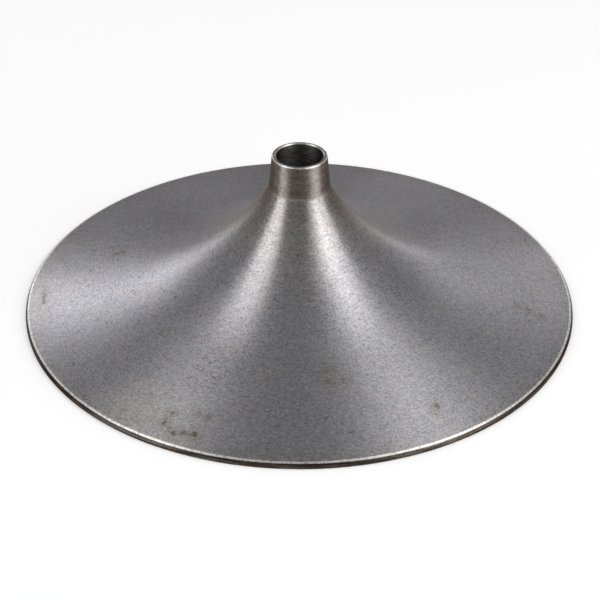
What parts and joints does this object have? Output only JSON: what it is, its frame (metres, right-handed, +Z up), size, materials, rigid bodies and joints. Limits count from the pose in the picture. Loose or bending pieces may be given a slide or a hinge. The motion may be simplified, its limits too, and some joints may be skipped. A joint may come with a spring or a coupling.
{
  "type": "cone table leg",
  "caption": "Round steel table base: a hollow trumpet-shaped cone with a wide shallow skirt, a rounded rim and a short tapered collar with a plain bore for a tube post.",
  "frame": {"origin": "on the floor plane, where the axis of the cone meets it", "axes": "+Z up along the axis of the cone and of the bore; X and Y are any two directions across the round base"},
  "size_m": [0.46, 0.46, 0.138],
  "materials": {
    "raw_steel": "satin, raw mill-grey steel with fine turned lines and light rust freckles"
  },
  "bodies": {
    "root": {"cone_base": "raw_steel"}
  },
  "joints": []
}
